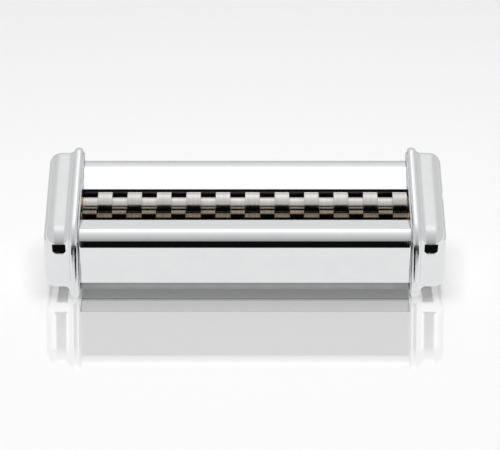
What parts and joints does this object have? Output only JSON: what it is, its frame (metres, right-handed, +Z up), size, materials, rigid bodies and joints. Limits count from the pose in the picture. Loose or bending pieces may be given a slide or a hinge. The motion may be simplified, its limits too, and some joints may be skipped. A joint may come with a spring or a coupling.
{
  "type": "pasta cutting roller head",
  "caption": "Chromed cutting head of a hand pasta machine: geared rollers with interlocking rings in a folded sheet body between rounded end caps.",
  "frame": {"origin": "on the resting plane, under the middle of the end caps", "axes": "+X along the rollers towards the crank end, +Y from the front cover to the rear cover, +Z up"},
  "size_m": [0.175, 0.0686, 0.049],
  "materials": {
    "cap_chrome": "polished chrome plate over a pressed shell",
    "cover_chrome": "polished chrome plate on folded sheet",
    "plate_steel": "zinc-plated sheet steel",
    "roller_steel": "turned steel with fine rings from the lathe",
    "bush_bronze": "turned bronze",
    "gear_steel": "cut and oiled steel",
    "pin_steel": "ground steel",
    "comb_steel": "rolled stainless sheet",
    "rod_steel": "drawn steel bar",
    "screw_steel": "nickel-plated steel"
  },
  "bodies": {
    "frame": {"left_cap": "cap_chrome", "right_cap": "cap_chrome", "left_side_plate": "plate_steel", "right_side_plate": "plate_steel", "front_cover": "cover_chrome", "rear_cover": "cover_chrome", "front_left_bush": "bush_bronze", "front_right_bush": "bush_bronze", "rear_left_bush": "bush_bronze", "rear_right_bush": "bush_bronze", "front_comb": "comb_steel", "rear_comb": "comb_steel", "front_tie_rod": "rod_steel", "top_tie_rod": "rod_steel", "low_tie_rod": "rod_steel", "left_cap_screws": "screw_steel", "right_cap_screws": "screw_steel", "left_hook": "plate_steel", "right_hook": "plate_steel", "hook_rivets": "screw_steel"},
    "front_roller_set": {"front_roller": "roller_steel", "front_gear": "gear_steel", "front_gear_pin": "pin_steel", "front_roller_clip": "pin_steel"},
    "rear_roller_set": {"rear_roller": "roller_steel", "rear_gear": "gear_steel", "rear_gear_pin": "pin_steel", "drive_socket": "pin_steel", "socket_pin": "pin_steel"}
  },
  "joints": [
    {"name": "rear_roller_spin", "type": "hinge", "parent": "frame", "child": "rear_roller_set", "pos_m": [0, 0.00198, 0.03094], "axis": [1, 0, 0], "continuous": true},
    {"name": "front_roller_spin", "type": "hinge", "parent": "frame", "child": "front_roller_set", "pos_m": [0, -0.00778, 0.02762], "axis": [1, 0, 0], "continuous": true}
  ],
  "couplings": [
    {"joint": "front_roller_spin", "follows": "rear_roller_spin", "ratio": -1}
  ]
}
